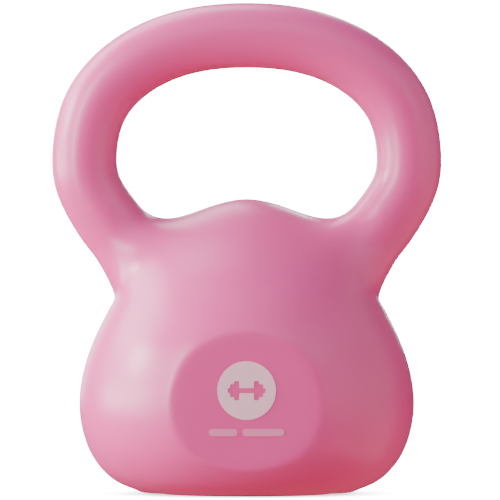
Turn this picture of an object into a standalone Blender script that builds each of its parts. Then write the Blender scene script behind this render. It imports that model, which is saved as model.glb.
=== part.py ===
"""Kettlebell: a blow-moulded plastic shell, body and loop handle in one, filled with cement ballast.

Metres, +Z up. The origin is on the floor under the middle of the base, X runs across the handle and
the front faces -Y.
"""

import math

import bmesh
import bpy
import numpy as np

MM = 0.001

# Fits and walls
GAP = 0.3 * MM
WALL = 3.0 * MM
FLOOR_TOP = 7.0 * MM
BASE_PLANE = 0.5 * MM
FLAT_DEPTH = 62.3 * MM

# Body rings: height at the sides, how much higher the front and back run, half width, half depth
BODY_RINGS = (
    (0.0 * MM, 0.0 * MM, 42.0 * MM, 40.0 * MM),
    (1.3 * MM, 0.0 * MM, 49.0 * MM, 46.8 * MM),
    (4.5 * MM, 0.0 * MM, 56.8 * MM, 54.2 * MM),
    (10.5 * MM, 0.0 * MM, 64.5 * MM, 61.0 * MM),
    (21.0 * MM, 0.0 * MM, 71.2 * MM, 66.9 * MM),
    (36.0 * MM, 0.0 * MM, 74.8 * MM, 69.5 * MM),
    (51.0 * MM, 0.4 * MM, 74.0 * MM, 68.9 * MM),
    (65.5 * MM, 1.8 * MM, 69.9 * MM, 65.0 * MM),
    (78.0 * MM, 5.0 * MM, 64.2 * MM, 56.0 * MM),
    (85.0 * MM, 8.5 * MM, 60.4 * MM, 47.6 * MM),
    (91.0 * MM, 12.0 * MM, 60.1 * MM, 39.6 * MM),
)

# Shoulder between the legs of the handle
SADDLE_TOP = (0.0, 0.0, 131.9 * MM)
SADDLE_FRONT = (0.0, 20.5 * MM, 120.8 * MM)
LEG_FOOT_FRONT = (47.4 * MM, 18.0 * MM, 107.4 * MM)
LEG_FOOT_CORNER = (36.0 * MM, 13.6 * MM, 119.6 * MM)
LEG_FOOT_INNER = (27.8 * MM, 0.0, 124.7 * MM)

# Handle centreline: a squarish arch on two bent legs
GRIP_RADIUS = 14.6 * MM
HALF_SPAN = 72.7 * MM
ARCH_FOOT = 150.6 * MM
ARCH_TOP = 205.2 * MM
ARCH_SQUARENESS = 2.2
LEG_BEND_RADIUS = 42.0 * MM
LEG_BEND = math.radians(41.0)
LEG_SPREAD = ((11.0 * MM, 15.8 * MM, 15.8 * MM), (0.0 * MM, 15.0 * MM, 14.8 * MM))
ARCH_STATIONS = 5
ARCH_SAMPLES = 2000

# Filling port and its plug, in the middle of the base
PORT_RADIUS = 12.0 * MM
SEAT_RADIUS = 16.3 * MM
SEAT_TOP = 4.3 * MM
FLANGE_RADIUS = 16.0 * MM
FLANGE_BOTTOM = 1.0 * MM
FLANGE_TOP = 2.8 * MM
STEM_RADIUS = 11.7 * MM
STEM_TOP = 12.0 * MM
STEM_WALL = 2.2 * MM
SNAP_RADIUS = 12.8 * MM
COIN_SLOT = (18.0 * MM, 2.4 * MM, 1.0 * MM)
POCKET_RADIUS = 14.5 * MM
POCKET_TOP = 14.0 * MM
SEAL_INNER = 12.9 * MM
SEAL_OUTER = 15.4 * MM
SEAL_BOTTOM = 3.1 * MM
SEAL_TOP = 4.0 * MM

# Rubber ring that the bell rests on
PAD_INNER = 21.0 * MM
PAD_OUTER = 38.0 * MM
PAD_TOP = 3.0 * MM
PAD_GROOVES = (25.5 * MM, 33.5 * MM)
GROOVE_WIDTH = 1.6 * MM
GROOVE_DEPTH = 0.9 * MM
EDGE = 0.5 * MM
MERGE = 0.01 * MM

# Print on the front flat
PRINT_GAP = 0.05 * MM
PRINT_THICKNESS = 0.2 * MM
DISC_RADIUS = 12.8 * MM
DISC_HEIGHT = 47.0 * MM
ICON_STEPS = ((3.2 * MM, 1.1 * MM), (5.4 * MM, 4.2 * MM), (7.2 * MM, 2.8 * MM), (8.3 * MM, 1.0 * MM))
LINE_HEIGHT = 28.7 * MM
LINE_THICKNESS = 3.2 * MM
LINE_BARS = {"front_mark_bar_left": (-10.3 * MM, 12.6 * MM), "front_mark_bar_right": (7.4 * MM, 18.4 * MM)}

# Mesh of the body: a ring of 20 sides closed by a grid of 6 by 4
COLUMNS = 6
ROWS = 4
SIDES = 2 * (COLUMNS + ROWS)
FIRST_CORNER = math.radians(-144.0)
LEG_LOOP = ((0, 2), (0, 1), (1, 1), (2, 1), (2, 2), (2, 3), (1, 3), (0, 3))
LEG_CENTRE = (1, 2)
BASE_GRID_SPREAD = (0.72, 0.66)
TURNED_STEPS = 48

# Fitting the form: between these heights, points off the planes of symmetry settle like a bent sheet
LOOSE_BAND = (84.0 * MM, 120.0 * MM)
SETTLING = 0.12
FIT_ROUNDS = 400

# How far cutters run: past a face they cut, and past the whole bell
PAST = 20.0 * MM
FAR = 300.0 * MM


def clear_scene():
    for thing in list(bpy.data.objects):
        bpy.data.objects.remove(thing, do_unlink=True)


def principled(name, colour, roughness, metallic=0.0):
    material = bpy.data.materials.new(name)
    material.use_nodes = True
    shader = material.node_tree.nodes["Principled BSDF"]
    shader.inputs["Base Color"].default_value = (*colour, 1.0)
    shader.inputs["Roughness"].default_value = roughness
    shader.inputs["Metallic"].default_value = metallic
    material.diffuse_color = (*colour, 1.0)
    return material


def add_mesh(name, points, faces, material=None):
    mesh = bpy.data.meshes.new(name)
    mesh.from_pydata([tuple(point) for point in points], [], faces)
    mesh.validate()
    made = bpy.data.objects.new(name, mesh)
    bpy.context.scene.collection.objects.link(made)
    if material:
        mesh.materials.append(material)
    return made


def as_cutter(thing):
    thing.hide_render = True
    thing.display_type = "WIRE"
    return thing


def boolean(target, operation, tool):
    cut = target.modifiers.new(operation.lower(), "BOOLEAN")
    cut.operation = operation
    cut.solver = "EXACT"
    cut.object = tool


def shade(thing, angle_degrees=40.0):
    thing.data.shade_smooth()
    thing.data.set_sharp_from_angle(angle=math.radians(angle_degrees))


def block_cutter(name, low, high):
    points = [(x, y, z) for x in (low[0], high[0]) for y in (low[1], high[1]) for z in (low[2], high[2])]
    faces = [(0, 1, 3, 2), (4, 6, 7, 5), (0, 4, 5, 1), (2, 3, 7, 6), (0, 2, 6, 4), (1, 5, 7, 3)]
    return as_cutter(add_mesh(name, points, faces))


def turned(name, outline, material=None, steps=TURNED_STEPS):
    """Turn an outline about Z. It holds (radius, height) points that run down the outer side."""
    mesh = bpy.data.meshes.new(name)
    count = len(outline)
    on_axis = outline[0][0] == 0.0 and outline[-1][0] == 0.0
    edges = [(i, i + 1) for i in range(count - 1)]
    if not on_axis:
        edges.append((count - 1, 0))
    mesh.from_pydata([(radius, 0.0, height) for radius, height in outline], edges, [])
    made = bpy.data.objects.new(name, mesh)
    bpy.context.scene.collection.objects.link(made)
    turn = made.modifiers.new("turn", "SCREW")
    turn.steps = steps
    turn.render_steps = steps
    turn.use_merge_vertices = True
    turn.merge_threshold = MERGE
    turn.use_smooth_shade = True
    if material:
        mesh.materials.append(material)
    return made


def rim_index(column, row):
    """Where a border corner of the closing grid falls on the 20-sided ring, or None inside it."""
    if row == 0:
        return column
    if column == COLUMNS:
        return COLUMNS + row
    if row == ROWS:
        return 2 * COLUMNS + ROWS - column
    if column == 0:
        return SIDES - row
    return None


def body_rings():
    """Points of the stacked body rings; where a ring rises to the front, its depth follows the slope."""
    heights = [side + rise for side, rise, _, _ in BODY_RINGS]
    depths = [depth for _, _, _, depth in BODY_RINGS]
    rings = []
    for side, rise, half_width, half_depth in BODY_RINGS:
        ring = []
        for index in range(SIDES):
            angle = FIRST_CORNER + 2.0 * math.pi * index / SIDES
            height = side + rise * math.sin(angle) ** 2
            depth = np.interp(height, heights, depths) if rise else half_depth
            ring.append((half_width * math.cos(angle), depth * math.sin(angle), height))
        rings.append(ring)
    return rings


def arch_points():
    """Centreline of the arch from its foot to its top, at equal steps along the curve."""
    turn = np.linspace(0.0, math.pi / 2.0, ARCH_SAMPLES)
    across = HALF_SPAN * np.cos(turn) ** (2.0 / ARCH_SQUARENESS)
    height = ARCH_FOOT + (ARCH_TOP - ARCH_FOOT) * np.sin(turn) ** (2.0 / ARCH_SQUARENESS)
    run = np.concatenate(([0.0], np.cumsum(np.hypot(np.diff(across), np.diff(height)))))
    steps = np.linspace(0.0, run[-1], ARCH_STATIONS + 1)
    return [(float(np.interp(s, run, across)), float(np.interp(s, run, height))) for s in steps]


def handle_stations():
    """Right-hand stations, shoulder to top: centre, outward direction, radius across, radius deep."""
    stations = []
    bend_x = HALF_SPAN - LEG_BEND_RADIUS
    foot = (bend_x + LEG_BEND_RADIUS * math.cos(LEG_BEND), ARCH_FOOT - LEG_BEND_RADIUS * math.sin(LEG_BEND))
    down = (-math.sin(LEG_BEND), -math.cos(LEG_BEND))
    outward = (math.cos(LEG_BEND), -math.sin(LEG_BEND))
    for run, across, deep in LEG_SPREAD:
        stations.append(((foot[0] + down[0] * run, foot[1] + down[1] * run), outward, across, deep))
    angle = LEG_BEND / 2.0
    centre = (bend_x + LEG_BEND_RADIUS * math.cos(angle), ARCH_FOOT - LEG_BEND_RADIUS * math.sin(angle))
    stations.append((centre, (math.cos(angle), -math.sin(angle)), GRIP_RADIUS, GRIP_RADIUS))
    arch = arch_points()
    for index, point in enumerate(arch):
        before = arch[max(index - 1, 0)]
        after = arch[min(index + 1, len(arch) - 1)]
        outward = (after[1] - before[1], before[0] - after[0])
        if index == 0:
            outward = (1.0, 0.0)
        if index == len(arch) - 1:
            outward = (0.0, 1.0)
        size = math.hypot(*outward)
        stations.append((point, (outward[0] / size, outward[1] / size), GRIP_RADIUS, GRIP_RADIUS))
    return stations


def handle_rings():
    """Eight-sided rings of the handle from the left shoulder, over the top, to the right shoulder."""
    right = []
    for (x, z), (out_x, out_z), across, deep in handle_stations():
        ring = []
        for index in range(8):
            angle = math.radians(45.0 * index)
            spread = across * math.cos(angle)
            ring.append((x + out_x * spread, -deep * math.sin(angle), z + out_z * spread))
        right.append(ring)
    left = [[(-x, y, z) for x, y, z in ring] for ring in right[:-1]]
    return left + right[::-1]


def shoulder_point(column, row):
    """Point of the closing grid at the top, from its front left quarter by symmetry."""
    known = {
        (1, 1): LEG_FOOT_FRONT,
        (2, 1): LEG_FOOT_CORNER,
        (3, 1): SADDLE_FRONT,
        (2, 2): LEG_FOOT_INNER,
        (3, 2): SADDLE_TOP,
    }
    x, y, z = known[min(column, COLUMNS - column), min(row, ROWS - row)]
    return (math.copysign(x, column - COLUMNS / 2), math.copysign(y, row - ROWS / 2), z)


def bell_form():
    """Points and quads of the whole outside: base, body, shoulder and handle as one closed surface."""
    points = []
    faces = []

    def add_point(point):
        points.append(point)
        return len(points) - 1

    rings = [[add_point(point) for point in ring] for ring in body_rings()]
    for low, high in zip(rings, rings[1:]):
        for i in range(SIDES):
            j = (i + 1) % SIDES
            faces.append((low[i], low[j], high[j], high[i]))

    top = {}
    bottom = {}
    base_depth, base_width = BODY_RINGS[0][3], BODY_RINGS[0][2]
    for column in range(COLUMNS + 1):
        for row in range(ROWS + 1):
            rim = rim_index(column, row)
            if rim is not None:
                top[column, row] = rings[-1][rim]
                bottom[column, row] = rings[0][rim]
                continue
            x = base_width * BASE_GRID_SPREAD[0] * (2 * column / COLUMNS - 1.0)
            y = base_depth * BASE_GRID_SPREAD[1] * (2 * row / ROWS - 1.0)
            bottom[column, row] = add_point((x, y, BODY_RINGS[0][0]))
            if (min(column, COLUMNS - column), row) != LEG_CENTRE:
                top[column, row] = add_point(shoulder_point(column, row))
    for column in range(COLUMNS):
        for row in range(ROWS):
            corners = ((column, row), (column + 1, row), (column + 1, row + 1), (column, row + 1))
            faces.append(tuple(bottom[corner] for corner in reversed(corners)))
            if all(corner in top for corner in corners):
                faces.append(tuple(top[corner] for corner in corners))

    loops = [[top[corner] for corner in LEG_LOOP]]
    loops += [[add_point(point) for point in ring] for ring in handle_rings()]
    loops.append([top[COLUMNS - column, row] for column, row in LEG_LOOP])
    for low, high in zip(loops, loops[1:]):
        for i in range(8):
            j = (i + 1) % 8
            faces.append((low[i], low[j], high[j], high[i]))
    return np.array(points), faces


def inset_points(points, faces, distance):
    """The same points moved inwards, square to the surface."""
    quads = np.array(faces)
    across = np.cross(points[quads[:, 2]] - points[quads[:, 0]], points[quads[:, 3]] - points[quads[:, 1]])
    normals = np.zeros_like(points)
    for corner in range(4):
        np.add.at(normals, quads[:, corner], across)
    normals /= np.linalg.norm(normals, axis=1)[:, None]
    return points - normals * distance


def neighbour_sum(values, edges):
    """For each point, the sum of its neighbours' values."""
    total = np.zeros_like(values)
    np.add.at(total, edges[:, 0], values[edges[:, 1]])
    np.add.at(total, edges[:, 1], values[edges[:, 0]])
    return total


def cage_through(points, faces, loose=None):
    """Control cage of a subdivision surface through the points, and where its corners end on that surface.

    Loose points aren't held: they settle like a bent sheet.
    """
    quads = np.array(faces)
    pairs = np.concatenate([quads[:, [0, 1]], quads[:, [1, 2]], quads[:, [2, 3]], quads[:, [3, 0]]])
    edges = np.unique(np.sort(pairs, axis=1), axis=0)
    valence = np.bincount(edges.reshape(-1))[:, None]
    if loose is None:
        loose = np.zeros((len(points), 1), bool)
    cage = points.copy()
    for _ in range(FIT_ROUNDS):
        near = neighbour_sum(cage, edges)
        opposite = np.zeros_like(cage)
        for corner in range(4):
            np.add.at(opposite, quads[:, corner], cage[quads[:, (corner + 2) % 4]])
        surface = (valence**2 * cage + 4.0 * near + opposite) / (valence * (valence + 5.0))
        sag = near / valence - cage
        bend = neighbour_sum(sag, edges) / valence - sag
        cage += np.where(loose, -SETTLING * bend, points - surface)
    return cage, surface


def settled_form():
    """The bell's points with those round the neck settled, and its quads."""
    points, faces = bell_form()
    off_planes = (np.abs(points[:, :2]) > MM).all(axis=1)
    in_band = (points[:, 2] > LOOSE_BAND[0]) & (points[:, 2] < LOOSE_BAND[1])
    _, surface = cage_through(points, faces, (off_planes & in_band)[:, None])
    return surface, faces


def bell_solid(name, inset, floor, material=None):
    """The bell's form drawn in by a wall's thickness, cut flat at the base, the front and the back."""
    points, faces = settled_form()
    if inset:
        points = inset_points(points, faces, inset)
    cage, _ = cage_through(points, faces)
    bell = add_mesh(name, cage, faces, material)
    smooth = bell.modifiers.new("smooth", "SUBSURF")
    smooth.levels = 1
    smooth.render_levels = 1
    same_diagonals = bell.modifiers.new("same_diagonals", "TRIANGULATE")
    same_diagonals.quad_method = "FIXED"
    flat = FLAT_DEPTH - inset
    gauge = block_cutter(f"{name}_gauge", (-FAR, -flat, floor), (FAR, flat, FAR))
    boolean(bell, "INTERSECT", gauge)
    shade(bell)
    return bell


def build_shell(material):
    shell = bell_solid("shell", 0.0, BASE_PLANE, material)
    cavity = as_cutter(bell_solid("cavity_former", WALL, FLOOR_TOP))
    port = [(0.0, PAST), (PORT_RADIUS, PAST), (PORT_RADIUS, SEAT_TOP)]
    port += [(SEAT_RADIUS, SEAT_TOP), (SEAT_RADIUS, -PAST), (0.0, -PAST)]
    pad_seat = [(PAD_INNER - GAP, PAD_TOP + GAP), (PAD_OUTER + GAP, PAD_TOP + GAP)]
    pad_seat += [(PAD_OUTER + GAP, -PAST), (PAD_INNER - GAP, -PAST)]
    boolean(shell, "DIFFERENCE", cavity)
    boolean(shell, "DIFFERENCE", as_cutter(turned("port_cutter", port)))
    boolean(shell, "DIFFERENCE", as_cutter(turned("pad_seat_cutter", pad_seat)))


def build_ballast(material):
    ballast = bell_solid("ballast", WALL + GAP, FLOOR_TOP + GAP, material)
    pocket = [(0.0, POCKET_TOP), (POCKET_RADIUS, POCKET_TOP), (POCKET_RADIUS, 0.0), (0.0, 0.0)]
    boolean(ballast, "DIFFERENCE", as_cutter(turned("pocket_cutter", pocket)))


def build_plug(material):
    """Cupped press-in plug: flange below, stem through the port, snap lip above the floor."""
    lip = FLOOR_TOP + GAP
    inner = STEM_RADIUS - STEM_WALL
    outline = [
        (0.0, FLANGE_TOP + STEM_WALL),
        (inner, FLANGE_TOP + STEM_WALL),
        (inner, STEM_TOP),
        (STEM_RADIUS - EDGE, STEM_TOP),
        (SNAP_RADIUS, lip + 2.0 * EDGE),
        (SNAP_RADIUS, lip),
        (STEM_RADIUS, lip),
        (STEM_RADIUS, FLANGE_TOP),
        (FLANGE_RADIUS - EDGE, FLANGE_TOP),
        (FLANGE_RADIUS, FLANGE_TOP - EDGE),
        (FLANGE_RADIUS, FLANGE_BOTTOM + EDGE),
        (FLANGE_RADIUS - EDGE, FLANGE_BOTTOM),
        (0.0, FLANGE_BOTTOM),
    ]
    plug = turned("filler_plug", outline, material)
    length, width, depth = COIN_SLOT
    slot = block_cutter(
        "coin_slot_cutter", (-length / 2, -width / 2, -PAST), (length / 2, width / 2, FLANGE_BOTTOM + depth)
    )
    boolean(plug, "DIFFERENCE", slot)


def build_seal(material):
    """Flat rubber ring with rounded edges, between the flange and its seat."""
    middle = (SEAL_BOTTOM + SEAL_TOP) / 2
    half = (SEAL_TOP - SEAL_BOTTOM) / 2
    outline = []
    for centre, start in ((SEAL_OUTER - half, 90.0), (SEAL_INNER + half, -90.0)):
        for step in range(5):
            angle = math.radians(start - 45.0 * step)
            outline.append((centre + half * math.cos(angle), middle + half * math.sin(angle)))
    turned("plug_seal", outline, material)


def build_pad(material):
    """Rubber ring with softened corners and two round grooves underneath."""
    outline = [(PAD_INNER, PAD_TOP), (PAD_OUTER, PAD_TOP), (PAD_OUTER, EDGE), (PAD_OUTER - EDGE, 0.0)]
    for groove in reversed(PAD_GROOVES):
        outline.append((groove + GROOVE_WIDTH / 2, 0.0))
        outline.append((groove + GROOVE_WIDTH / 4, GROOVE_DEPTH))
        outline.append((groove - GROOVE_WIDTH / 4, GROOVE_DEPTH))
        outline.append((groove - GROOVE_WIDTH / 2, 0.0))
    outline += [(PAD_INNER + EDGE, 0.0), (PAD_INNER, EDGE)]
    turned("base_pad", outline, material)


def plate(name, outline, near, far, material=None):
    """Flat plate facing the front: an outline of (x, z) points, drawn from one depth to another."""
    count = len(outline)
    points = [(x, near, z) for x, z in outline] + [(x, far, z) for x, z in outline]
    sides = [(i, (i + 1) % count, count + (i + 1) % count, count + i) for i in range(count)]
    ends = [tuple(reversed(range(count))), tuple(range(count, 2 * count))]
    made = add_mesh(name, points, ends + sides, material)
    closed = bmesh.new()
    closed.from_mesh(made.data)
    bmesh.ops.recalc_face_normals(closed, faces=closed.faces)
    closed.to_mesh(made.data)
    closed.free()
    return made


def stadium_outline(x, z, width, height, steps=8):
    points = []
    for side in (1, -1):
        centre = x + side * (width - height) / 2
        for step in range(steps + 1):
            angle = math.pi * step / steps - side * math.pi / 2
            points.append((centre + height / 2 * math.cos(angle), z + height / 2 * math.sin(angle)))
    return points


def icon_outline():
    """Plain dumbbell, each step wider or narrower than the last from the grip to the tip."""
    upper = []
    start = 0.0
    for reach, half_height in ICON_STEPS:
        upper += [(start, half_height), (reach, half_height)]
        start = reach
    right = upper[1:] + [(x, -z) for x, z in reversed(upper[1:])]
    left = [(-x, -z) for x, z in right]
    return [(x, DISC_HEIGHT + z) for x, z in right + left]


def build_marks(pale, faint):
    near = -FLAT_DEPTH - PRINT_GAP
    far = near - PRINT_THICKNESS
    circle = []
    for step in range(TURNED_STEPS):
        angle = 2.0 * math.pi * step / TURNED_STEPS
        circle.append((DISC_RADIUS * math.cos(angle), DISC_HEIGHT + DISC_RADIUS * math.sin(angle)))
    disc = plate("front_mark_disc", circle, near, far, pale)
    boolean(disc, "DIFFERENCE", as_cutter(plate("icon_cutter", icon_outline(), near + MM, far - MM)))
    for name, (x, width) in LINE_BARS.items():
        plate(name, stadium_outline(x, LINE_HEIGHT, width, LINE_THICKNESS), near, far, faint)


def main():
    clear_scene()
    pink = principled("pink_satin_plastic", (0.75, 0.08, 0.30), 0.35)
    cement = principled("cement", (0.36, 0.35, 0.33), 0.9)
    grey_plastic = principled("plug_plastic", (0.50, 0.16, 0.27), 0.45)
    rubber = principled("rubber", (0.03, 0.03, 0.032), 0.85)
    pale = principled("pale_print", (0.60, 0.45, 0.49), 0.5)
    faint = principled("faint_print", (0.55, 0.27, 0.37), 0.5)
    build_shell(pink)
    build_ballast(cement)
    build_plug(grey_plastic)
    build_seal(rubber)
    build_pad(rubber)
    build_marks(pale, faint)


main()
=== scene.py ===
"""Finished look of the pink kettlebell: a satin moulded shell on a rubber base ring, in a soft studio.

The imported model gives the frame, in metres: +Z up, X across the handle, the front facing -Y.
"""

import logging
import math
from dataclasses import dataclass, field
from enum import Enum
from typing import Callable

import bpy
import numpy as np
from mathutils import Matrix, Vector

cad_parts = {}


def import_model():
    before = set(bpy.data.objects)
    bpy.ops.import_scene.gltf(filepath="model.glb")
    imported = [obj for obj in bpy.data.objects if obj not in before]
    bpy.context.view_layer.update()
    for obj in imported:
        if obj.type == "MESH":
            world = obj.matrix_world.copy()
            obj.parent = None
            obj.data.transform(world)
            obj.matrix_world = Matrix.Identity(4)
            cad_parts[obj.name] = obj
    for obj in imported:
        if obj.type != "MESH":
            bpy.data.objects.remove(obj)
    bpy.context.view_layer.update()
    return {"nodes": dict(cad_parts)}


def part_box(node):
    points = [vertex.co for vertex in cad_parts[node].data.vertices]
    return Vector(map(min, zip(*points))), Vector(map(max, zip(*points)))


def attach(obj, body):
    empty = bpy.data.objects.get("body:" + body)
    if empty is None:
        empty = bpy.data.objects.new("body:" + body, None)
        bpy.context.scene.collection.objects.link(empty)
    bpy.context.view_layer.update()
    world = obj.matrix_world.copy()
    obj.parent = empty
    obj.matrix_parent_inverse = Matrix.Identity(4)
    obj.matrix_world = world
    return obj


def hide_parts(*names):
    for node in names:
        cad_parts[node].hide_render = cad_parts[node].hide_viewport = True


LOG = logging.getLogger("kettlebell")
MM = 0.001
BODY = "root"

TINY = 0.001 * MM
CREASE_DEGREES = 40.0
# The middle part of a cloudy value, which is spread over the whole range of a finish
CLOUD_LOW, CLOUD_HIGH = 0.15, 0.85
CUTTER_REACH = 10.0 * MM
PAD_INNER_RADIUS = 21.0 * MM
# The (column, row) places that a leg grows from, from its outer side round the front to its inner side
LEG_LOOP = ((0, 2), (0, 1), (1, 1), (2, 1), (2, 2))


class Side(Enum):
    """The two bars of the print, by the side that they stand on."""

    LEFT = "left"
    RIGHT = "right"


# ---------------------------------------------------------------- bench work


def deselect_all() -> None:
    """Leave edit mode and clear the selection."""
    if bpy.context.object and bpy.context.object.mode != "OBJECT":
        bpy.ops.object.mode_set(mode="OBJECT")
    bpy.ops.object.select_all(action="DESELECT")


def make_active(piece: bpy.types.Object) -> None:
    """Select one object alone and make it the active one."""
    deselect_all()
    piece.select_set(True)
    bpy.context.view_layer.objects.active = piece


def named(piece: bpy.types.Object, name: str) -> bpy.types.Object:
    """Name an object and its mesh alike and return it."""
    piece.name = name
    piece.data.name = name
    return piece


def settle_transform(piece: bpy.types.Object) -> None:
    """Move an object's place, turn and size into its mesh."""
    make_active(piece)
    bpy.ops.object.transform_apply(location=True, rotation=True, scale=True)


def select_edges(piece: bpy.types.Object, wanted: Callable[[Vector, Vector], bool]) -> None:
    """Select the edges whose two ends pass a test, ready for edit mode.

    Args:
        piece: the mesh object, in object mode.
        wanted: a test on the two end points.
    """
    mesh = piece.data
    for element in (mesh.vertices, mesh.edges, mesh.polygons):
        element.foreach_set("select", [False] * len(element))
    for edge in mesh.edges:
        first, second = (mesh.vertices[i] for i in edge.vertices)
        if wanted(first.co, second.co):
            edge.select = True
            first.select = True
            second.select = True


def extrude_edges(piece: bpy.types.Object, wanted: Callable[[Vector, Vector], bool], step: Vector) -> None:
    """Extrude the edges that pass a test by one step.

    Args:
        piece: the mesh object.
        wanted: a test on an edge's two end points.
        step: how far the new edges move.
    """
    make_active(piece)
    select_edges(piece, wanted)
    bpy.ops.object.mode_set(mode="EDIT")
    bpy.ops.mesh.select_mode(type="EDGE")
    bpy.ops.mesh.extrude_region_move(TRANSFORM_OT_translate={"value": tuple(step)})
    bpy.ops.object.mode_set(mode="OBJECT")


def apply_modifier(piece: bpy.types.Object, kind: str, **settings: object) -> None:
    """Add a modifier with its settings and apply it at once.

    Args:
        piece: the mesh object.
        kind: the modifier's type.
        settings: the modifier's properties.
    """
    make_active(piece)
    modifier = piece.modifiers.new(kind.title(), kind)
    for key, value in settings.items():
        setattr(modifier, key, value)
    bpy.ops.object.modifier_apply(modifier=modifier.name)


def cut(piece: bpy.types.Object, tool: bpy.types.Object) -> None:
    """Cut a piece with a closed tool and throw the tool away."""
    apply_modifier(piece, "BOOLEAN", operation="DIFFERENCE", solver="EXACT", object=tool)
    bpy.data.objects.remove(tool, do_unlink=True)


def smooth_by_angle(piece: bpy.types.Object, degrees: float = CREASE_DEGREES) -> None:
    """Shade a piece smooth, with edges sharper than an angle kept crisp."""
    make_active(piece)
    bpy.ops.object.shade_smooth_by_angle(angle=math.radians(degrees))


def soften_edges(piece: bpy.types.Object, width: float, crease_degrees: float = 60.0) -> None:
    """Round a piece's sharp edges a little and keep its flat faces truly flat in the light."""
    apply_modifier(piece, "BEVEL", width=width, segments=2, limit_method="ANGLE", harden_normals=True)
    smooth_by_angle(piece, crease_degrees)
    apply_modifier(piece, "WEIGHTED_NORMAL", keep_sharp=True, weight=100)


def face_outwards(piece: bpy.types.Object, merge: float = TINY) -> None:
    """Merge doubled points and turn every face outwards."""
    make_active(piece)
    bpy.ops.object.mode_set(mode="EDIT")
    bpy.ops.mesh.select_all(action="SELECT")
    bpy.ops.mesh.remove_doubles(threshold=merge)
    bpy.ops.mesh.normals_make_consistent(inside=False)
    bpy.ops.object.mode_set(mode="OBJECT")


def turned_piece(name: str, outline: list[tuple[float, float]], steps: int) -> bpy.types.Object:
    """Spin a closed outline about the vertical axis into a solid.

    Args:
        name: the piece's name.
        outline: (radius, height) points round the section, the last joined to the first.
        steps: how many steps the full turn takes.

    Returns:
        The closed solid, facing outwards.
    """
    deselect_all()
    bpy.ops.mesh.primitive_circle_add(vertices=len(outline), radius=MM, fill_type="NOTHING")
    piece = named(bpy.context.object, name)
    for vertex, (radius, height) in zip(piece.data.vertices, outline):
        vertex.co = (radius, 0.0, height)
    bpy.ops.object.mode_set(mode="EDIT")
    bpy.ops.mesh.select_all(action="SELECT")
    bpy.ops.mesh.spin(steps=steps, angle=math.tau, center=(0.0, 0.0, 0.0), axis=(0.0, 0.0, 1.0))
    bpy.ops.object.mode_set(mode="OBJECT")
    face_outwards(piece)
    return piece


def rounded_outline(corners: list[tuple[float, float, float]], steps: int = 4) -> list[tuple[float, float]]:
    """Round off the corners of a closed outline.

    Args:
        corners: (across, up, rounding) for each corner, in order.
        steps: how many stretches each rounded corner takes.

    Returns:
        The (across, up) points of the rounded outline.
    """
    points = []
    count = len(corners)
    for index, (x, z, rounding) in enumerate(corners):
        here = Vector((x, z))
        if rounding == 0.0:
            points.append((x, z))
            continue
        before = Vector(corners[index - 1][:2]) - here
        after = Vector(corners[(index + 1) % count][:2]) - here
        start = here + before.normalized() * rounding
        end = here + after.normalized() * rounding
        for step in range(steps + 1):
            t = step / steps
            point = start * (1 - t) ** 2 + here * (2 * t * (1 - t)) + end * t**2
            points.append((point.x, point.y))
    return points


# ---------------------------------------------------------------- finishes


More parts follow.
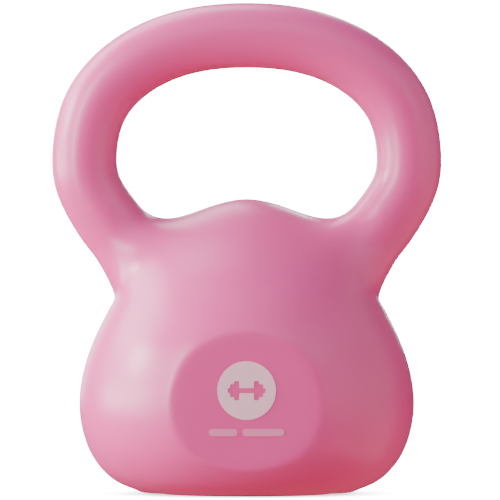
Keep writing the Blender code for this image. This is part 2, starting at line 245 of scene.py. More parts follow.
@dataclass(frozen=True)
class Shader:
    """A material's node tree, with short calls for the nodes that the finishes share."""

    material: bpy.types.Material

    @classmethod
    def start(cls, name: str, **sockets: object) -> "Shader":
        """Open a new material and set constants on its Principled shader.

        Args:
            name: the material's name.
            sockets: values by socket name, with _ for a space.

        Returns:
            The wrapped material.
        """
        material = bpy.data.materials.new(name)
        material.use_nodes = True
        made = cls(material)
        for key, value in sockets.items():
            made.principled.inputs[key.replace("_", " ")].default_value = value
        return made

    @property
    def principled(self) -> bpy.types.Node:
        """The Principled shader node."""
        return self.material.node_tree.nodes["Principled BSDF"]

    def node(self, kind: str, **settings: object) -> bpy.types.Node:
        """Add a node and set its properties."""
        made = self.material.node_tree.nodes.new(kind)
        for key, value in settings.items():
            setattr(made, key, value)
        return made

    def link(self, source: bpy.types.NodeSocket, target: bpy.types.NodeSocket) -> None:
        """Join two sockets."""
        self.material.node_tree.links.new(source, target)

    def place(self) -> bpy.types.NodeSocket:
        """Object coordinates, in metres."""
        return self.node("ShaderNodeTexCoord").outputs["Object"]

    def noise(self, scale: float, detail: float = 3.0, roughness: float = 0.5) -> bpy.types.NodeSocket:
        """Cloudy value over the surface, about 0.5 in the middle.

        Args:
            scale: clouds per metre.
            detail: how many finer octaves are added.
            roughness: how strong the finer octaves are.

        Returns:
            The value's socket.
        """
        made = self.node("ShaderNodeTexNoise")
        made.inputs["Scale"].default_value = scale
        made.inputs["Detail"].default_value = detail
        made.inputs["Roughness"].default_value = roughness
        self.link(self.place(), made.inputs["Vector"])
        return made.outputs["Fac"]

    def spread(self, value: bpy.types.NodeSocket, low: float, high: float) -> bpy.types.NodeSocket:
        """Spread the middle of a cloudy value over a range."""
        made = self.node("ShaderNodeMapRange")
        made.inputs["From Min"].default_value = CLOUD_LOW
        made.inputs["From Max"].default_value = CLOUD_HIGH
        made.inputs["To Min"].default_value = low
        made.inputs["To Max"].default_value = high
        self.link(value, made.inputs["Value"])
        return made.outputs["Result"]

    def maths(self, operation: str, *values: object) -> bpy.types.NodeSocket:
        """One arithmetic step on sockets or plain numbers."""
        made = self.node("ShaderNodeMath", operation=operation)
        for index, value in enumerate(values):
            if isinstance(value, (int, float)):
                made.inputs[index].default_value = value
            else:
                self.link(value, made.inputs[index])
        return made.outputs["Value"]

    def tint(self, factor: bpy.types.NodeSocket, first: tuple, second: tuple) -> None:
        """Colour the surface between two tints by a factor."""
        ramp = self.node("ShaderNodeValToRGB")
        ramp.color_ramp.elements[0].position = CLOUD_LOW
        ramp.color_ramp.elements[1].position = CLOUD_HIGH
        ramp.color_ramp.elements[0].color = (*first, 1.0)
        ramp.color_ramp.elements[1].color = (*second, 1.0)
        self.link(factor, ramp.inputs["Fac"])
        self.link(ramp.outputs["Color"], self.principled.inputs["Base Color"])

    def relief(self, *layers: tuple[bpy.types.NodeSocket, float]) -> None:
        """Stack bumps on the surface, each a height socket and its depth in metres."""
        normal = None
        for height, depth in layers:
            bump = self.node("ShaderNodeBump")
            bump.inputs["Strength"].default_value = 1.0
            bump.inputs["Distance"].default_value = depth
            self.link(height, bump.inputs["Height"])
            if normal:
                self.link(normal, bump.inputs["Normal"])
            normal = bump.outputs["Normal"]
        self.link(normal, self.principled.inputs["Normal"])


def scaled(colour: tuple[float, float, float], factor: float) -> tuple[float, float, float]:
    """A colour made lighter or darker by a factor."""
    return tuple(min(1.0, channel * factor) for channel in colour)


@dataclass(frozen=True)
class SatinShellFinish:
    """Pink satin polyethylene: soft gloss, faint mould grain and the parting line of the mould halves."""

    name: str
    colour: tuple[float, float, float] = (0.71, 0.074, 0.30)
    roughness: tuple[float, float] = (0.28, 0.34)
    bleed: float = 0.08
    bleed_reach: tuple[float, float, float] = (1.0, 0.35, 0.45)
    bleed_depth: float = 3.0 * MM
    mottle: float = 0.03
    mottle_per_metre: float = 28.0
    wear_per_metre: float = 70.0
    grain_per_metre: float = 1500.0
    grain_depth: float = 0.006 * MM
    ripple_per_metre: float = 45.0
    ripple_depth: float = 0.10 * MM
    parting_half_width: float = 0.35 * MM
    parting_depth: float = 0.05 * MM

    def material(self) -> bpy.types.Material:
        """Make the node material."""
        shader = Shader.start(
            self.name,
            Specular_IOR_Level=0.5,
            Subsurface_Weight=self.bleed,
            Subsurface_Radius=self.bleed_reach,
            Subsurface_Scale=self.bleed_depth,
        )
        clouds = shader.noise(self.mottle_per_metre, detail=4.0)
        shader.tint(clouds, scaled(self.colour, 1.0 - self.mottle), scaled(self.colour, 1.0 + self.mottle))
        wear = shader.noise(self.wear_per_metre, detail=5.0, roughness=0.6)
        worn = shader.spread(wear, *self.roughness)
        shader.link(worn, shader.principled.inputs["Roughness"])
        split = shader.node("ShaderNodeSeparateXYZ")
        shader.link(shader.place(), split.inputs["Vector"])
        distance = shader.maths("ABSOLUTE", split.outputs["Y"])
        off_plane = shader.maths("DIVIDE", distance, self.parting_half_width)
        ridge = shader.maths("SUBTRACT", 1.0, shader.maths("MINIMUM", off_plane, 1.0))
        shader.relief(
            (shader.noise(self.ripple_per_metre, detail=1.0), self.ripple_depth),
            (shader.noise(self.grain_per_metre, detail=2.0), self.grain_depth),
            (ridge, self.parting_depth),
        )
        return shader.material


@dataclass(frozen=True)
class RubberFinish:
    """Dull moulded rubber with a fine grain and lighter dusty patches."""

    name: str
    colour: tuple[float, float, float] = (0.022, 0.022, 0.024)
    dust: float = 1.9
    dust_per_metre: float = 110.0
    roughness: tuple[float, float] = (0.62, 0.85)
    wear_per_metre: float = 160.0
    grain_per_metre: float = 900.0
    grain_depth: float = 0.03 * MM

    def material(self) -> bpy.types.Material:
        """Make the node material."""
        shader = Shader.start(self.name, Specular_IOR_Level=0.35)
        dust = shader.noise(self.dust_per_metre, detail=5.0, roughness=0.65)
        shader.tint(dust, self.colour, scaled(self.colour, self.dust))
        dull = shader.spread(shader.noise(self.wear_per_metre, detail=4.0), *self.roughness)
        shader.link(dull, shader.principled.inputs["Roughness"])
        shader.relief((shader.noise(self.grain_per_metre), self.grain_depth))
        return shader.material


@dataclass(frozen=True)
class InkFinish:
    """Pad-printed ink: flatter than the plastic round it, a little uneven in cover."""

    name: str
    colour: tuple[float, float, float]
    roughness: tuple[float, float] = (0.42, 0.55)
    mottle: float = 0.04
    mottle_per_metre: float = 420.0
    wear_per_metre: float = 600.0
    grain_per_metre: float = 2200.0
    grain_depth: float = 0.004 * MM

    def material(self) -> bpy.types.Material:
        """Make the node material."""
        shader = Shader.start(self.name, Specular_IOR_Level=0.4)
        cover = shader.noise(self.mottle_per_metre, detail=4.0, roughness=0.6)
        shader.tint(cover, scaled(self.colour, 1.0 - self.mottle), scaled(self.colour, 1.0 + self.mottle))
        worn = shader.spread(shader.noise(self.wear_per_metre), *self.roughness)
        shader.link(worn, shader.principled.inputs["Roughness"])
        shader.relief((shader.noise(self.grain_per_metre, detail=2.0), self.grain_depth))
        return shader.material


@dataclass(frozen=True)
class CementFinish:
    """Cured cement with dark iron sand in it."""

    name: str
    colour: tuple[float, float, float] = (0.30, 0.29, 0.27)
    contrast: tuple[float, float] = (0.55, 1.3)
    sand_per_metre: float = 520.0
    roughness: tuple[float, float] = (0.8, 0.95)
    wear_per_metre: float = 240.0
    grain_per_metre: float = 700.0
    grain_depth: float = 0.25 * MM

    def material(self) -> bpy.types.Material:
        """Make the node material."""
        shader = Shader.start(self.name, Specular_IOR_Level=0.2)
        dark, light = (scaled(self.colour, factor) for factor in self.contrast)
        shader.tint(shader.noise(self.sand_per_metre, detail=6.0, roughness=0.75), dark, light)
        rough = shader.spread(shader.noise(self.wear_per_metre), *self.roughness)
        shader.link(rough, shader.principled.inputs["Roughness"])
        grain = shader.noise(self.grain_per_metre, detail=6.0, roughness=0.7)
        shader.relief((grain, self.grain_depth))
        return shader.material


# ---------------------------------------------------------------- the shell


@dataclass(frozen=True)
class BodyRing:
    """One ring of the body: its height at the sides, its rise at the front, half width and half depth."""

    height: float
    rise: float
    half_width: float
    half_depth: float


@dataclass(frozen=True)
class HandleStation:
    """One section of the handle, in the plane of the loop."""

    centre: tuple[float, float]
    outward: tuple[float, float]
    across: float
    deep: float


def body_rings() -> tuple[BodyRing, ...]:
    """The body's rings from the base to the neck, in metres."""
    rows = (
        (0.0, 0.0, 42.0, 40.0),
        (1.3, 0.0, 49.0, 46.8),
        (4.5, 0.0, 56.8, 54.2),
        (10.5, 0.0, 64.5, 61.0),
        (21.0, 0.0, 71.2, 66.9),
        (36.0, 0.0, 74.8, 69.5),
        (51.0, 0.4, 74.0, 68.9),
        (65.5, 1.8, 69.9, 65.0),
        (78.0, 5.0, 64.2, 56.0),
        (85.0, 8.5, 60.4, 47.6),
        (91.0, 12.0, 60.1, 39.6),
    )
    return tuple(BodyRing(*(value * MM for value in row)) for row in rows)


@dataclass
class Handle:
    """Centreline and thickness of the loop: a squarish arch on two bent legs.

    Each leg section is a run on past the end of the bend, a half width and a half depth.
    """

    grip_radius: float = 14.6 * MM
    half_span: float = 72.7 * MM
    arch_foot: float = 150.6 * MM
    arch_top: float = 205.2 * MM
    squareness: float = 2.2
    bend_radius: float = 42.0 * MM
    bend: float = math.radians(41.0)
    leg_sections: tuple[tuple[float, float, float], ...] = (
        (11.0 * MM, 15.8 * MM, 15.8 * MM),
        (0.0 * MM, 15.0 * MM, 14.8 * MM),
    )
    arch_steps: int = 5
    arch_samples: int = 2000

    def arch(self) -> list[tuple[float, float]]:
        """Points of the arch from its foot to its top, at equal steps along the curve."""
        turn = np.linspace(0.0, math.pi / 2.0, self.arch_samples)
        across = self.half_span * np.cos(turn) ** (2.0 / self.squareness)
        rise = self.arch_top - self.arch_foot
        height = self.arch_foot + rise * np.sin(turn) ** (2.0 / self.squareness)
        run = np.concatenate(([0.0], np.cumsum(np.hypot(np.diff(across), np.diff(height)))))
        marks = np.linspace(0.0, run[-1], self.arch_steps + 1)
        return [(float(np.interp(s, run, across)), float(np.interp(s, run, height))) for s in marks]

    def on_bend(self, angle: float) -> tuple[float, float]:
        """Point of the leg's bend at an angle below its top."""
        x = self.half_span - self.bend_radius * (1.0 - math.cos(angle))
        return (x, self.arch_foot - self.bend_radius * math.sin(angle))

    def stations(self) -> list[HandleStation]:
        """Sections from the shoulder up one leg to the top of the arch."""
        made = []
        foot = self.on_bend(self.bend)
        outward = (math.cos(self.bend), -math.sin(self.bend))
        for run, across, deep in self.leg_sections:
            centre = (foot[0] - math.sin(self.bend) * run, foot[1] - math.cos(self.bend) * run)
            made.append(HandleStation(centre, outward, across, deep))
        half = self.bend / 2.0
        facing = (math.cos(half), -math.sin(half))
        made.append(HandleStation(self.on_bend(half), facing, self.grip_radius, self.grip_radius))
        arch = self.arch()
        last = len(arch) - 1
        for index, point in enumerate(arch):
            before, after = arch[max(index - 1, 0)], arch[min(index + 1, last)]
            facing = Vector((after[1] - before[1], before[0] - after[0])).normalized()
            if index == 0:
                facing = Vector((1.0, 0.0))
            if index == last:
                facing = Vector((0.0, 1.0))
            made.append(HandleStation(point, tuple(facing), self.grip_radius, self.grip_radius))
        return made


@dataclass
class BellShell:
    """The one-piece moulded skin: body, shoulder and handle in one smooth surface.

    A quarter of its control cage is drafted by extrusion on whole-number places (column, row, level),
    each place is then moved to where it belongs, and two mirrors make the rest.
    """

    finish: SatinShellFinish
    rings: tuple[BodyRing, ...] = field(default_factory=body_rings)
    handle: Handle = field(default_factory=Handle)
    saddle_top: tuple[float, float, float] = (0.0, 0.0, 131.9 * MM)
    saddle_front: tuple[float, float, float] = (0.0, 20.5 * MM, 120.8 * MM)
    leg_foot_front: tuple[float, float, float] = (47.4 * MM, 18.0 * MM, 107.4 * MM)
    leg_foot_corner: tuple[float, float, float] = (36.0 * MM, 13.6 * MM, 119.6 * MM)
    leg_foot_inner: tuple[float, float, float] = (27.8 * MM, 0.0, 124.7 * MM)
    base_plane: float = 0.5 * MM
    flat_depth: float = 62.3 * MM
    flat_softness: float = 0.42 * MM
    base_softness: float = 0.25 * MM
    seat_gap: float = 0.3 * MM
    seat_rounding: float = 0.6 * MM
    seat_steps: int = 96
    port_seat_top: float = 4.3 * MM
    smooth_levels: int = 4
    loose_band: tuple[float, float] = (84.0 * MM, 120.0 * MM)
    settling: float = 0.12
    fit_rounds: int = 400
    columns: int = 3
    rows: int = 2
    first_corner: float = math.radians(-144.0)
    ring_turn: float = math.radians(18.0)
    base_spread: tuple[float, float] = (0.72, 0.66)
    draft_merge: float = 0.1
    mirror_merge: float = 0.01 * MM

    def build(self) -> bpy.types.Object:
        """Model the shell and dress it.

        Returns:
            The finished piece.
        """
        cage = self._drafted_quarter()
        self._move_to_places(cage)
        apply_modifier(
            cage, "MIRROR", use_axis=(True, True, False), use_clip=True, merge_threshold=self.mirror_merge
        )
        face_outwards(cage)
        self._fit(cage)
        apply_modifier(cage, "SUBSURF", levels=self.smooth_levels, render_levels=self.smooth_levels)
        self._flatten(cage)
        self._cut_seats(cage)
        smooth_by_angle(cage)
        cage.data.materials.clear()
        cage.data.materials.append(self.finish.material())
        return cage

    def _drafted_quarter(self) -> bpy.types.Object:
        """Extrude the left front quarter of the cage on whole-number places."""
        deselect_all()
        bpy.ops.mesh.primitive_grid_add(x_subdivisions=self.columns, y_subdivisions=self.rows, size=1.0)
        cage = named(bpy.context.object, "bell_shell")
        bpy.ops.object.mode_set(mode="EDIT")
        bpy.ops.transform.resize(value=(self.columns, self.rows, 1.0))
        bpy.ops.transform.translate(value=(self.columns / 2.0, self.rows / 2.0, 0.0))
        bpy.ops.object.mode_set(mode="OBJECT")
        top = len(self.rings) - 1
        for level in range(top):
            extrude_edges(cage, lambda a, b: self._on_rim(a, b, level), Vector((0.0, 0.0, 1.0)))
        extrude_edges(cage, lambda a, b: self._along_row(a, b, 0, 0, top), Vector((0.0, 1.0, 0.0)))
        extrude_edges(cage, lambda a, b: self._along_row(a, b, 1, 2, top), Vector((0.0, 1.0, 0.0)))
        face_outwards(cage, self.draft_merge)
        for level in range(top, top + len(self.handle.stations())):
            extrude_edges(cage, lambda a, b: self._on_leg(a, b, level), Vector((0.0, 0.0, 1.0)))
        return cage

    @staticmethod
    def _on_rim(a: Vector, b: Vector, level: int) -> bool:
        """Whether an edge lies on the outer rim of the quarter, at a level."""
        if round(a.z) != level or round(b.z) != level:
            return False
        return (round(a.y) == 0 and round(b.y) == 0) or (round(a.x) == 0 and round(b.x) == 0)

    @staticmethod
    def _along_row(a: Vector, b: Vector, row: int, first_column: int, level: int) -> bool:
        """Whether an edge lies along a row, from a column on, at a level."""
        along = round(a.y) == row and round(b.y) == row and round(a.z) == level and round(b.z) == level
        return along and min(round(a.x), round(b.x)) >= first_column

    @staticmethod
    def _on_leg(a: Vector, b: Vector, level: int) -> bool:
        """Whether an edge lies on the open loop that the leg grows from."""
        ends = [(round(p.x), round(p.y)) for p in (a, b)]
        if round(a.z) != level or round(b.z) != level or not all(end in LEG_LOOP for end in ends):
            return False
        return abs(LEG_LOOP.index(ends[0]) - LEG_LOOP.index(ends[1])) == 1

    def _move_to_places(self, cage: bpy.types.Object) -> None:
        """Move every drafted vertex from its whole-number place to its real one."""
        top = len(self.rings) - 1
        stations = self.handle.stations()
        rings = [self._ring_points(ring) for ring in self.rings]
        for vertex in cage.data.vertices:
            column, row, level = (round(value) for value in vertex.co)
            if level > top:
                vertex.co = self._handle_point(stations[level - top - 1], column, row)
            elif column == 0 or row == 0:
                vertex.co = rings[level][column if row == 0 else -row]
            elif level == top:
                vertex.co = self._shoulder_point(column, row)
            else:
                vertex.co = self._base_point(column, row)

    def _ring_points(self, ring: BodyRing) -> list[tuple[float, float, float]]:
        """Points of a ring's quarter: its corner, three on to the front, then two that lead to the side."""
        heights = [each.height + each.rise for each in self.rings]
        depths = [each.half_depth for each in self.rings]
        points = []
        for index in (0, 1, 2, 3, -2, -1):
            angle = self.first_corner + self.ring_turn * index
            height = ring.height + ring.rise * math.sin(angle) ** 2
            depth = float(np.interp(height, heights, depths)) if ring.rise else ring.half_depth
            points.append((ring.half_width * math.cos(angle), depth * math.sin(angle), height))
        return points

    def _base_point(self, column: int, row: int) -> tuple[float, float, float]:
        """Point of the grid that closes the base."""
        first = self.rings[0]
        x = first.half_width * self.base_spread[0] * (column / self.columns - 1.0)
        y = first.half_depth * self.base_spread[1] * (row / self.rows - 1.0)
        return (x, y, first.height)

    def _shoulder_point(self, column: int, row: int) -> tuple[float, float, float]:
        """Point of the shoulder between the legs."""
        known = {
            (1, 1): self.leg_foot_front,
            (2, 1): self.leg_foot_corner,
            (3, 1): self.saddle_front,
            (2, 2): self.leg_foot_inner,
            (3, 2): self.saddle_top,
        }
        x, y, z = known[column, row]
        return (-x, -y, z)

    @staticmethod
    def _handle_point(station: HandleStation, column: int, row: int) -> tuple[float, float, float]:
        """Point of a handle section, from its outer side round the front to its inner side."""
        angle = math.pi * LEG_LOOP.index((column, row)) / (len(LEG_LOOP) - 1)
        spread = station.across * math.cos(angle)
        x = station.centre[0] + station.outward[0] * spread
        z = station.centre[1] + station.outward[1] * spread
        return (-x, -station.deep * math.sin(angle), z)

    def _fit(self, cage: bpy.types.Object) -> None:
        """Move the cage until its smooth surface passes through the places its points had.

        Round the neck, points off the planes of symmetry are loose, and settle like a bent sheet.
        """
        mesh = cage.data
        places = np.empty(len(mesh.vertices) * 3)
        mesh.vertices.foreach_get("co", places)
        places = places.reshape(-1, 3)
        quads = np.array([tuple(face.vertices) for face in mesh.polygons])
        edges = np.array([tuple(edge.vertices) for edge in mesh.edges])
        valence = np.bincount(edges.reshape(-1))[:, None]
        low, high = self.loose_band
        off_planes = (np.abs(places[:, :2]) > MM).all(axis=1)
        loose = (off_planes & (places[:, 2] > low) & (places[:, 2] < high))[:, None]
        moved = places.copy()
        for _ in range(self.fit_rounds):
            near = self._neighbour_sum(moved, edges)
            opposite = np.zeros_like(moved)
            for corner in range(4):
                np.add.at(opposite, quads[:, corner], moved[quads[:, (corner + 2) % 4]])
            surface = (valence**2 * moved + 4.0 * near + opposite) / (valence * (valence + 5.0))
            sag = near / valence - moved
            bend = self._neighbour_sum(sag, edges) / valence - sag
            moved += np.where(loose, -self.settling * bend, places - surface)
        mesh.vertices.foreach_set("co", moved.reshape(-1))
        mesh.update()

    @staticmethod
    def _neighbour_sum(values: np.ndarray, edges: np.ndarray) -> np.ndarray:
        """For each vertex, the sum of its neighbours' values."""
        total = np.zeros_like(values)
        np.add.at(total, edges[:, 0], values[edges[:, 1]])
        np.add.at(total, edges[:, 1], values[edges[:, 0]])
        return total

    def _flatten(self, shell: bpy.types.Object) -> None:
        """Press the front, the back and the base flat, with soft edges."""
        mesh = shell.data
        points = np.empty(len(mesh.vertices) * 3)
        mesh.vertices.foreach_get("co", points)
        points = points.reshape(-1, 3)
        side = np.sign(points[:, 1])
        limit, soft = self.flat_depth, self.flat_softness
        depth = -soft * np.logaddexp(-np.abs(points[:, 1]) / soft, -limit / soft)
        points[:, 1] = side * np.maximum(depth, 0.0)
        low, soft = self.base_plane, self.base_softness
        points[:, 2] = soft * np.logaddexp(points[:, 2] / soft, low / soft)
        mesh.vertices.foreach_set("co", points.reshape(-1))
        mesh.update()

    def _cut_seats(self, shell: bpy.types.Object) -> None:
        """Sink the seats of the base ring and of the filling plug into the base."""
        _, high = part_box("base_pad")
        outer = high.x + self.seat_gap
        inner = PAD_INNER_RADIUS - self.seat_gap
        top = high.z + self.seat_gap
        below = -CUTTER_REACH
        top_corners = [(inner, top, self.seat_rounding), (outer, top, self.seat_rounding)]
        ring = rounded_outline(top_corners + [(outer, below, 0.0), (inner, below, 0.0)], steps=5)
        cut(shell, turned_piece("pad_seat_cutter", ring, self.seat_steps))
        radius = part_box("filler_plug")[1].x + self.seat_gap
        seat = [(0.0, self.port_seat_top), (radius, self.port_seat_top), (radius, below), (0.0, below)]
        cut(shell, turned_piece("plug_seat_cutter", seat, self.seat_steps))


@dataclass
class BasePad:
    """Rubber ring under the base, with two round grooves."""

    finish: RubberFinish
    groove_radii: tuple[float, float] = (25.5 * MM, 33.5 * MM)
    groove_width: float = 1.6 * MM
    groove_depth: float = 0.9 * MM
    groove_rounding: float = 0.15 * MM
    corner: float = 0.5 * MM
    steps: int = 144

    def build(self) -> bpy.types.Object:
        """Turn the ring and dress it.

        Returns:
            The finished piece.
        """
        _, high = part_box("base_pad")
        inner, soft = PAD_INNER_RADIUS, self.groove_rounding
        corners = [(inner, high.z, self.corner), (high.x, high.z, self.corner), (high.x, 0.0, self.corner)]
        for radius in reversed(self.groove_radii):
            lip, wall = self.groove_width / 2, self.groove_width / 3
            corners += [(radius + lip, 0.0, soft), (radius + wall, self.groove_depth, soft)]
            corners += [(radius - wall, self.groove_depth, soft), (radius - lip, 0.0, soft)]
        corners.append((inner, 0.0, self.corner))
        pad = turned_piece("rubber_base_ring", rounded_outline(corners), self.steps)
        smooth_by_angle(pad)
        pad.data.materials.append(self.finish.material())
        return pad


@dataclass
class FillerPlug:
    """Press-in plug under the base: a dished flange with a coin slot."""

    finish: SatinShellFinish
    stem_radius: float = 11.7 * MM
    tip: tuple[float, float] = (0.6 * MM, 2.0 * MM)
    flange: float = 1.8 * MM
    rim: float = 2.2 * MM
    rim_slope: float = 0.6 * MM
    dish: float = 0.5 * MM
    edge: float = 0.5 * MM
    rim_rounding: float = 0.3 * MM
    root_rounding: float = 0.2 * MM
    slot_length: float = 18.0 * MM
    slot_width: float = 2.4 * MM
    slot_depth: float = 1.0 * MM
    slot_rounding: float = 0.6 * MM
    steps: int = 96

    def build(self) -> bpy.types.Object:
        """Turn the plug, cut its slot and dress it.

        Returns:
            The finished piece.
        """
        low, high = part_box("filler_plug")
        radius = high.x
        flange_top = low.z + self.flange
        floor = low.z + self.dish
        inside = radius - self.rim
        corners = [
            (0.0, high.z, 0.0),
            (self.stem_radius - self.tip[0], high.z, 0.0),
            (self.stem_radius, high.z - self.tip[1], self.rim_rounding),
            (self.stem_radius, flange_top, self.root_rounding),
            (radius, flange_top, self.edge),
            (radius, low.z, self.edge),
            (inside, low.z, self.rim_rounding),
            (inside - self.rim_slope, floor, self.rim_rounding),
            (0.0, floor, 0.0),
        ]
        plug = turned_piece("port_plug", rounded_outline(corners), self.steps)
        cut(plug, self._slot_tool(low.z))
        smooth_by_angle(plug)
        plug.data.materials.clear()
        plug.data.materials.append(self.finish.material())
        return plug

    def _slot_tool(self, bottom: float) -> bpy.types.Object:
        """A bar with rounded ends that cuts the coin slot."""
        deselect_all()
        middle = bottom + self.dish + self.slot_depth - CUTTER_REACH / 2
        bpy.ops.mesh.primitive_cube_add(size=1.0, location=(0.0, 0.0, middle))
        tool = named(bpy.context.object, "slot_cutter")
        bpy.ops.object.mode_set(mode="EDIT")
        bpy.ops.transform.resize(value=(self.slot_length, self.slot_width, CUTTER_REACH))
        bpy.ops.object.mode_set(mode="OBJECT")
        settle_transform(tool)
        apply_modifier(tool, "BEVEL", width=self.slot_rounding, segments=3)
        return tool


@dataclass
class FrontMark:
    """Generic print on the front flat: a disc with a dumbbell left open in it, and two plain bars below."""

    disc_finish: InkFinish
    bar_finish: InkFinish
    edge: float = 0.06 * MM
    icon_rounding: float = 0.5 * MM
    icon_reach: float = 1.0 * MM
    icon_steps: tuple[tuple[float, float], ...] = (
        (3.2 * MM, 1.1 * MM),
        (5.4 * MM, 4.2 * MM),
        (7.2 * MM, 2.8 * MM),
        (8.3 * MM, 1.0 * MM),
    )
    disc_steps: int = 128
    bar_steps: int = 48

    def build(self) -> dict[str, bpy.types.Object]:
        """Model the printed shapes and dress them.

        Returns:
            The pieces by the CAD node that each stands for.
        """
        made = {"front_mark_disc": self._disc()}
        for side in Side:
            node = f"front_mark_bar_{side.value}"
            made[node] = self._bar(node, f"printed_bar_{side.value}")
        return made

    def _disc(self) -> bpy.types.Object:
        """The pale disc with its open dumbbell."""
        low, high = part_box("front_mark_disc")
        centre = (low + high) / 2
        deselect_all()
        bpy.ops.mesh.primitive_cylinder_add(
            vertices=self.disc_steps, radius=(high.x - low.x) / 2, depth=high.y - low.y,
            location=centre, rotation=(math.pi / 2, 0.0, 0.0),
        )
        disc = named(bpy.context.object, "printed_disc")
        settle_transform(disc)
        cut(disc, self._icon_tool(centre))
        soften_edges(disc, self.edge)
        disc.data.materials.clear()
        disc.data.materials.append(self.disc_finish.material())
        return disc

    def _icon_tool(self, centre: Vector) -> bpy.types.Object:
        """A plain dumbbell that reaches right through the disc."""
        upper = []
        start = 0.0
        for reach, half_height in self.icon_steps:
            upper += [(start, half_height), (reach, half_height)]
            start = reach
        right = upper[1:] + [(x, -z) for x, z in reversed(upper[1:])]
        outline = right + [(-x, -z) for x, z in right]
        points = rounded_outline([(x, z, self.icon_rounding) for x, z in outline])
        deselect_all()
        bpy.ops.mesh.primitive_circle_add(vertices=len(points), radius=MM, fill_type="NGON")
        tool = named(bpy.context.object, "icon_cutter")
        for vertex, (x, z) in zip(tool.data.vertices, points):
            vertex.co = (centre.x + x, centre.y - self.icon_reach, centre.z + z)
        bpy.ops.object.mode_set(mode="EDIT")
        bpy.ops.mesh.select_all(action="SELECT")
        through = (0.0, 2.0 * self.icon_reach, 0.0)
        bpy.ops.mesh.extrude_region_move(TRANSFORM_OT_translate={"value": through})
        bpy.ops.object.mode_set(mode="OBJECT")
        face_outwards(tool)
        return tool

    def _bar(self, node: str, name: str) -> bpy.types.Object:
        """A bar with round ends over the room of its CAD node."""
        low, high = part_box(node)
        height = high.z - low.z
        deselect_all()
        bpy.ops.mesh.primitive_cylinder_add(
            vertices=self.bar_steps, radius=height / 2, depth=high.y - low.y,
            location=(low + high) / 2, rotation=(math.pi / 2, 0.0, 0.0),
        )
        bar = named(bpy.context.object, name)
        settle_transform(bar)
        middle = (low.x + high.x) / 2
        stretch = (high.x - low.x - height) / 2
        for vertex in bar.data.vertices:
            if abs(vertex.co.x - middle) > TINY:
                vertex.co.x += math.copysign(stretch, vertex.co.x - middle)
        soften_edges(bar, self.edge)
        bar.data.materials.clear()
        bar.data.materials.append(self.bar_finish.material())
        return bar


# ---------------------------------------------------------------- the studio


@dataclass(frozen=True)
class SoftLight:
    """A soft box: where it hangs round the object, its size and its brightness."""

    name: str
    azimuth: float
    elevation: float
    width: float
    height: float
    watts: float
    distance: float = 1.5
    colour: tuple[float, float, float] = (1.0, 1.0, 1.0)

    def hang(self, target: Vector) -> None:
        """Hang the light, facing the object.

        Args:
            target: the point it faces.
        """
        turn, rise = math.radians(self.azimuth), math.radians(self.elevation)
        way = Vector((math.sin(turn) * math.cos(rise), -math.cos(turn) * math.cos(rise), math.sin(rise)))
        light = bpy.data.lights.new(self.name, "AREA")
        light.shape = "RECTANGLE"
        light.size = self.width
        light.size_y = self.height
        light.energy = self.watts
        light.color = self.colour
        lamp = bpy.data.objects.new(self.name, light)
        bpy.context.scene.collection.objects.link(lamp)
        lamp.location = target + way * self.distance
        lamp.rotation_euler = (-way).to_track_quat("-Z", "Y").to_euler()


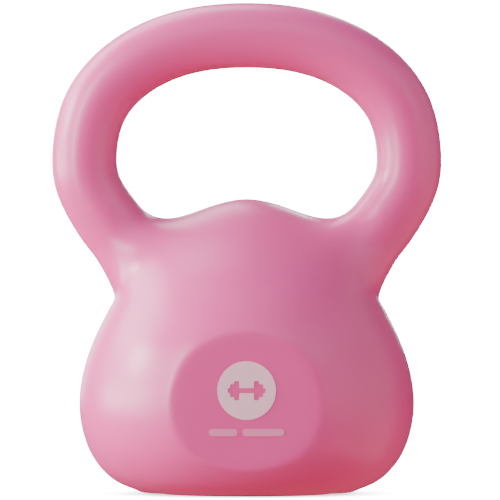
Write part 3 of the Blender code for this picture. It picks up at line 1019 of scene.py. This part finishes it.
@dataclass
class Studio:
    """Pale floor, soft boxes and the camera."""

    camera_distance: float = 2.4
    camera_height: float = 85.0 * MM
    aim: tuple[float, float, float] = (1.46 * MM, 0.0, 109.0 * MM)
    view_width: float = 224.0 * MM
    sensor: float = 36.0
    floor_size: float = 60.0
    shadow_reach: float = 30.0 * MM
    shadow_clear: float = 0.8
    shadow_glow: float = 1.2
    shadow_samples: int = 16
    floor_drop: float = 0.05 * MM
    lights: tuple[SoftLight, ...] = (
        SoftLight("left_wall", -90.0, 10.0, 1.5, 0.8, 17.5),
        SoftLight("left_high", -105.0, 36.0, 0.9, 0.8, 24.0),
        SoftLight("left_low", -85.0, 0.0, 1.2, 0.3, 17.0),
        SoftLight("left_near", -48.0, 10.0, 0.95, 0.8, 8.0),
        SoftLight("left_strip", -43.0, 14.0, 0.18, 1.1, 15.0),
        SoftLight("left_spot", -82.0, 20.0, 0.35, 0.4, 18.5),
        SoftLight("back_high", -140.0, 62.0, 1.0, 0.9, 19.0),
        SoftLight("back_left", -160.0, 12.0, 0.8, 0.8, 7.0),
        SoftLight("back_strip", 166.0, 22.0, 0.12, 1.1, 5.0),
        SoftLight("front_high", 25.0, 40.0, 2.0, 1.0, 5.0),
        SoftLight("right_wall", 80.0, 15.0, 2.4, 1.6, 8.5),
        SoftLight("right_low", 66.0, 4.0, 2.0, 0.7, 2.0),
        SoftLight("right_under", 90.0, -26.0, 1.6, 0.8, 7.0, colour=(1.0, 0.38, 0.46)),
    )
    sky: tuple[float, float, float] = (0.22, 0.24, 0.25)
    horizon: tuple[float, float, float] = (0.07, 0.035, 0.045)
    bounce: tuple[float, float, float] = (0.85, 0.17, 0.23)
    horizon_blend: float = 0.5
    white_out: float = 25.0

    def build(self) -> None:
        """Lay the floor, hang the lights and set the camera."""
        self._lay_floor()
        target = Vector(self.aim)
        for light in self.lights:
            light.hang(target)
        self._light_room()
        self._set_camera(target)

    def _lay_floor(self) -> None:
        """A wide floor just under the base that glows even white, with a painted contact shadow: its glow
        is dimmed by ambient occlusion where the base touches it.
        """
        deselect_all()
        bpy.ops.mesh.primitive_plane_add(size=self.floor_size, location=(0.0, 0.0, -self.floor_drop))
        floor = named(bpy.context.object, "studio_floor")
        settle_transform(floor)
        shader = Shader.start("studio_floor_paint", Roughness=0.9, Specular_IOR_Level=0.1)
        shader.principled.inputs["Emission Color"].default_value = (1.0, 1.0, 1.0, 1.0)
        # Painted contact shadow: ambient occlusion near the base turns the floor's white glow down to a
        # grey.
        openness = shader.node("ShaderNodeAmbientOcclusion", samples=self.shadow_samples)
        openness.inputs["Distance"].default_value = self.shadow_reach
        glow = shader.node("ShaderNodeMapRange")
        glow.inputs["From Min"].default_value = 0.0
        glow.inputs["From Max"].default_value = self.shadow_clear
        glow.inputs["To Min"].default_value = self.shadow_glow
        glow.inputs["To Max"].default_value = self.white_out
        shader.link(openness.outputs["AO"], glow.inputs["Value"])
        shader.link(glow.outputs["Result"], shader.principled.inputs["Emission Strength"])
        floor.data.materials.append(shader.material)
        floor.visible_diffuse = False
        floor.visible_glossy = False
        floor.visible_shadow = False

    def _light_room(self) -> None:
        """Ambient light: a pale room above, and below it the warm light that a pale table throws back."""
        world = bpy.data.worlds.new("pale_room")
        world.use_nodes = True
        bpy.context.scene.world = world
        nodes, links = world.node_tree.nodes, world.node_tree.links
        direction = nodes.new("ShaderNodeTexCoord")
        split = nodes.new("ShaderNodeSeparateXYZ")
        links.new(direction.outputs["Generated"], split.inputs["Vector"])
        height = nodes.new("ShaderNodeMapRange")
        height.inputs["From Min"].default_value = -self.horizon_blend
        height.inputs["From Max"].default_value = self.horizon_blend
        links.new(split.outputs["Z"], height.inputs["Value"])
        ramp = nodes.new("ShaderNodeValToRGB")
        stops = ramp.color_ramp.elements
        stops[0].color = (*self.bounce, 1.0)
        stops[1].color = (*self.sky, 1.0)
        stops.new(0.5).color = (*self.horizon, 1.0)
        links.new(height.outputs["Result"], ramp.inputs["Fac"])
        links.new(ramp.outputs["Color"], nodes["Background"].inputs["Color"])
        backdrop = nodes.new("ShaderNodeBackground")
        backdrop.inputs["Color"].default_value = (1.0, 1.0, 1.0, 1.0)
        backdrop.inputs["Strength"].default_value = self.white_out
        path = nodes.new("ShaderNodeLightPath")
        mix = nodes.new("ShaderNodeMixShader")
        links.new(path.outputs["Is Camera Ray"], mix.inputs["Fac"])
        links.new(nodes["Background"].outputs["Background"], mix.inputs[1])
        links.new(backdrop.outputs["Background"], mix.inputs[2])
        links.new(mix.outputs["Shader"], nodes["World Output"].inputs["Surface"])

    def _set_camera(self, target: Vector) -> None:
        """Stand a long lens straight in front, a little below the middle."""
        lens = bpy.data.cameras.new("front_camera")
        lens.sensor_width = self.sensor
        lens.lens = self.sensor * self.camera_distance / self.view_width
        camera = bpy.data.objects.new("front_camera", lens)
        bpy.context.scene.collection.objects.link(camera)
        camera.location = (target.x, -self.camera_distance, self.camera_height)
        camera.rotation_euler = (target - camera.location).to_track_quat("-Z", "Y").to_euler()
        bpy.context.scene.camera = camera
        bpy.context.scene.view_settings.view_transform = "AgX"


# ---------------------------------------------------------------- putting it together


def stand_in(piece: bpy.types.Object, node: str) -> None:
    """Let a finished piece stand for a CAD node and ride with the body."""
    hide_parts(node)
    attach(piece, BODY)
    LOG.info("%s stands for %s: %d faces", piece.name, node, len(piece.data.polygons))


def dress_node(node: bpy.types.Object, material: bpy.types.Material) -> None:
    """Give a carried-over CAD node its material."""
    node.data.materials.clear()
    node.data.materials.append(material)
    LOG.info("%s dressed with %s", node.name, material.name)


def corners(box: tuple) -> list[list[float]]:
    """A box's two corners as plain lists."""
    return [[float(value) for value in corner] for corner in box]


def main() -> None:
    """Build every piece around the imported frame."""
    logging.basicConfig(level=logging.INFO, format="%(name)s: %(message)s")
    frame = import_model()

    shell = BellShell(SatinShellFinish("pink_satin_shell")).build()
    stand_in(shell, "shell")
    pad = BasePad(RubberFinish("base_rubber")).build()
    stand_in(pad, "base_pad")
    plug_finish = SatinShellFinish("plug_plastic", colour=(0.60, 0.085, 0.21), roughness=(0.4, 0.5))
    plug = FillerPlug(plug_finish).build()
    stand_in(plug, "filler_plug")
    pale_ink = InkFinish("pale_ink", (0.80, 0.53, 0.60))
    faint_ink = InkFinish("faint_ink", (0.72, 0.22, 0.40))
    mark = FrontMark(pale_ink, faint_ink)
    for node, piece in mark.build().items():
        stand_in(piece, node)
    dress_node(frame["nodes"]["ballast"], CementFinish("iron_sand_cement").material())
    dress_node(frame["nodes"]["plug_seal"], RubberFinish("seal_rubber").material())

    Studio().build()


if __name__ == "__main__":
    main()
